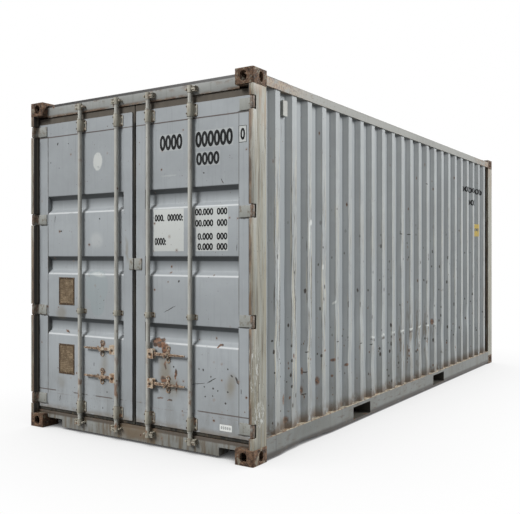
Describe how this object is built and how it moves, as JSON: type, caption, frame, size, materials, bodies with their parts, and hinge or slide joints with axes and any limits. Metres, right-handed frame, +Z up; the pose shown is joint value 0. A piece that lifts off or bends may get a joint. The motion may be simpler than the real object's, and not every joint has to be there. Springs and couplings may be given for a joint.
{
  "type": "steel shipping container",
  "caption": "High-cube steel shipping container with corrugated walls, corner castings and two rear doors with locking bars and handles.",
  "frame": {"origin": "on the ground, below the middle of the container", "axes": "+X to the right as seen from the door end, +Y from the door end to the blind end, +Z up"},
  "size_m": [2.438, 6.058, 2.896],
  "materials": {
    "grey_paint": "weathered",
    "post_paint": "weathered",
    "castings": "rusted",
    "hardware": "weathered",
    "pins": "rusted",
    "gasket": "matt",
    "plywood": "worn",
    "plates": "tarnished"
  },
  "bodies": {
    "container": {"bottom_corner_castings": "castings", "top_corner_castings": "castings", "right_rear_post": "post_paint", "left_rear_post": "post_paint", "right_front_post": "post_paint", "left_front_post": "post_paint", "rear_sill": "grey_paint", "rear_header": "grey_paint", "front_sill": "grey_paint", "front_header": "grey_paint", "right_bottom_side_rail": "grey_paint", "left_bottom_side_rail": "grey_paint", "right_top_side_rail": "grey_paint", "left_top_side_rail": "grey_paint", "right_side_wall": "grey_paint", "left_side_wall": "grey_paint", "front_wall": "grey_paint", "roof_panel": "grey_paint", "roof_corner_plates": "grey_paint", "cross_members": "grey_paint", "floor_boards": "plywood", "forklift_pockets": "grey_paint", "ventilators": "grey_paint", "hinge_lugs": "pins", "hinge_pins": "pins", "sill_cam_keepers": "hardware", "header_cam_keepers": "hardware"},
    "right_door": {"right_door_frame": "grey_paint", "right_door_panel": "grey_paint", "right_door_gasket": "gasket", "right_door_hinges": "grey_paint", "right_bar_bearings": "hardware", "right_handle_catches": "hardware", "right_door_cleat": "grey_paint"},
    "left_door": {"left_door_frame": "grey_paint", "left_door_panel": "grey_paint", "left_door_gasket": "gasket", "left_door_hinges": "grey_paint", "left_bar_bearings": "hardware", "left_handle_catches": "hardware", "left_door_cleat": "grey_paint", "data_plates": "plates"},
    "right_inner_bar": {"right_inner_locking_bar": "hardware", "right_inner_bar_cams": "hardware", "right_handle_hubs": "hardware"},
    "right_outer_bar": {"right_outer_locking_bar": "hardware", "right_outer_bar_cams": "hardware"},
    "right_lower_handle": {"right_lower_handle": "hardware"},
    "right_upper_handle": {"right_upper_handle": "hardware"},
    "left_inner_bar": {"left_inner_locking_bar": "hardware", "left_inner_bar_cams": "hardware", "left_handle_hubs": "hardware"},
    "left_outer_bar": {"left_outer_locking_bar": "hardware", "left_outer_bar_cams": "hardware"},
    "left_lower_handle": {"left_lower_handle": "hardware"},
    "left_upper_handle": {"left_upper_handle": "hardware"}
  },
  "joints": [
    {"name": "right_door_hinge", "type": "hinge", "parent": "container", "child": "right_door", "pos_m": [1.199, -3.01, 1.45], "axis": [0, 0, 1], "range_deg": [0, 265]},
    {"name": "right_inner_bar_turn", "type": "hinge", "parent": "right_door", "child": "right_inner_bar", "pos_m": [0.175, -3, 1.45], "axis": [0, 0, 1], "range_deg": [-100, 0]},
    {"name": "right_outer_bar_turn", "type": "hinge", "parent": "right_door", "child": "right_outer_bar", "pos_m": [0.61, -3, 1.45], "axis": [0, 0, 1], "range_deg": [-100, 0]},
    {"name": "right_lower_handle_lift", "type": "hinge", "parent": "right_inner_bar", "child": "right_lower_handle", "pos_m": [0.211, -3, 0.512], "axis": [0, 1, 0], "range_deg": [-30, 0]},
    {"name": "right_upper_handle_lift", "type": "hinge", "parent": "right_inner_bar", "child": "right_upper_handle", "pos_m": [0.211, -3, 0.748], "axis": [0, 1, 0], "range_deg": [-30, 0]},
    {"name": "left_door_hinge", "type": "hinge", "parent": "container", "child": "left_door", "pos_m": [-1.199, -3.01, 1.45], "axis": [0, 0, 1], "range_deg": [-265, 0]},
    {"name": "left_inner_bar_turn", "type": "hinge", "parent": "left_door", "child": "left_inner_bar", "pos_m": [-0.175, -3, 1.45], "axis": [0, 0, 1], "range_deg": [0, 100]},
    {"name": "left_outer_bar_turn", "type": "hinge", "parent": "left_door", "child": "left_outer_bar", "pos_m": [-0.61, -3, 1.45], "axis": [0, 0, 1], "range_deg": [0, 100]},
    {"name": "left_lower_handle_lift", "type": "hinge", "parent": "left_inner_bar", "child": "left_lower_handle", "pos_m": [-0.211, -3, 0.512], "axis": [0, 1, 0], "range_deg": [0, 30]},
    {"name": "left_upper_handle_lift", "type": "hinge", "parent": "left_inner_bar", "child": "left_upper_handle", "pos_m": [-0.211, -3, 0.748], "axis": [0, 1, 0], "range_deg": [0, 30]}
  ]
}
